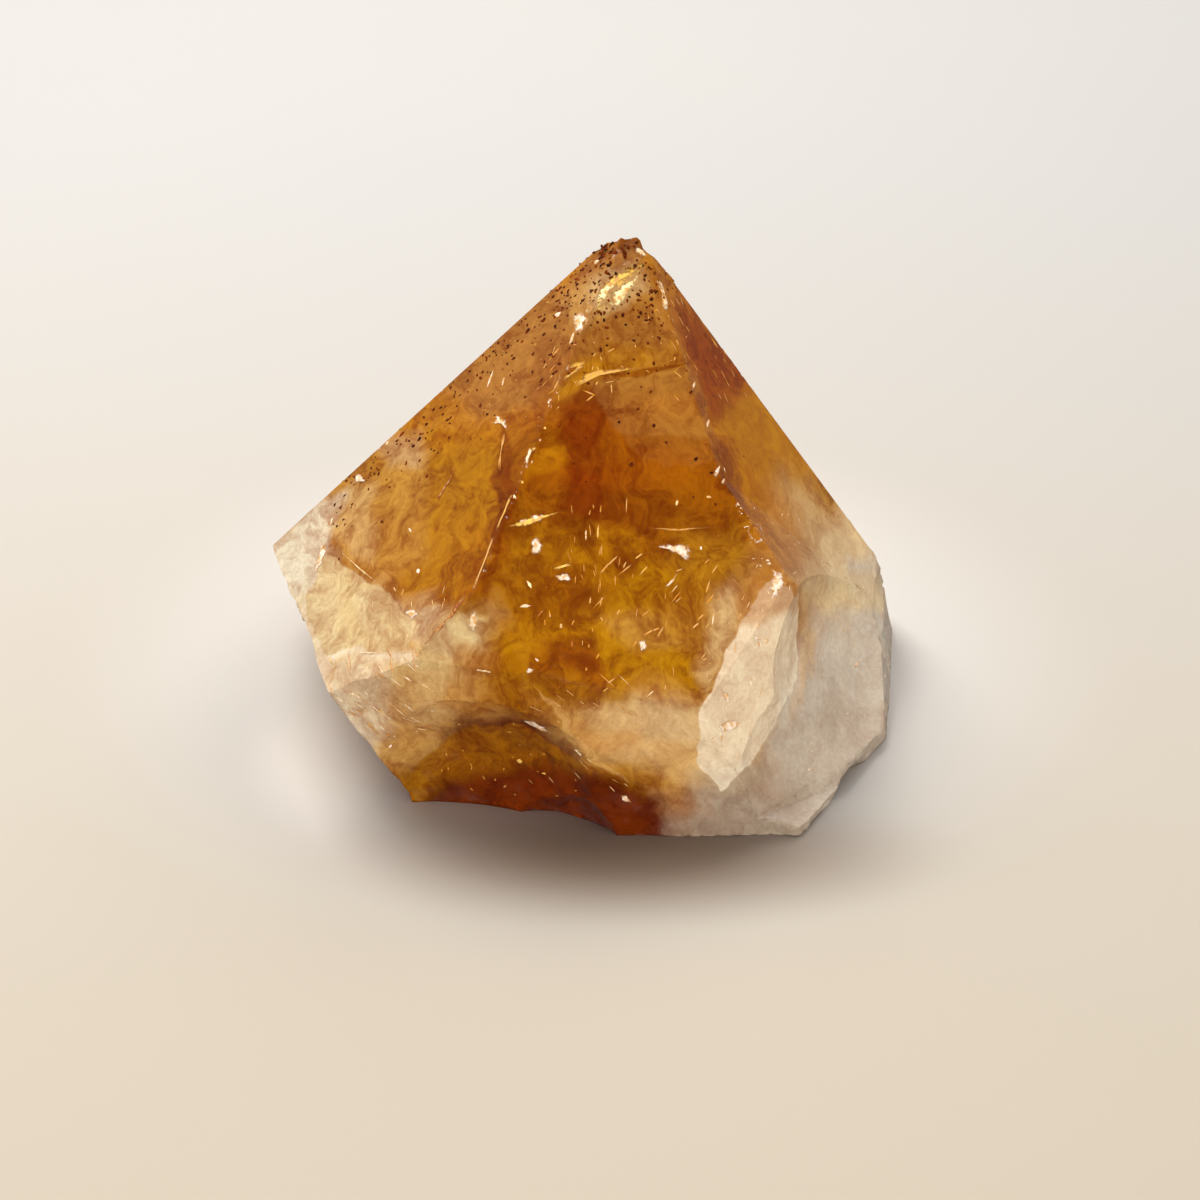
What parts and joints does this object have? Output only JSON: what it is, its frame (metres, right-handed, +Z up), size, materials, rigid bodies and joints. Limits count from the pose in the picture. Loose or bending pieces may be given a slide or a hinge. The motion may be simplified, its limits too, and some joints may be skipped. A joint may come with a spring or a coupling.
{
  "type": "citrine crystal point",
  "caption": "Amber quartz crystal point with six sloping tip faces over a short, broken, milky foot, standing on a flat cut base.",
  "frame": {"origin": "bottom centre of the bounding box, on the surface that the cut base rests on", "axes": "+X to the right of the front, along the crystal's greatest width; +Z up; the front faces -Y"},
  "size_m": [0.059, 0.0514, 0.042],
  "materials": {
    "citrine": "glossy, clear amber tip, milky fractured foot"
  },
  "bodies": {
    "root": {"citrine_point": "citrine"}
  },
  "joints": []
}
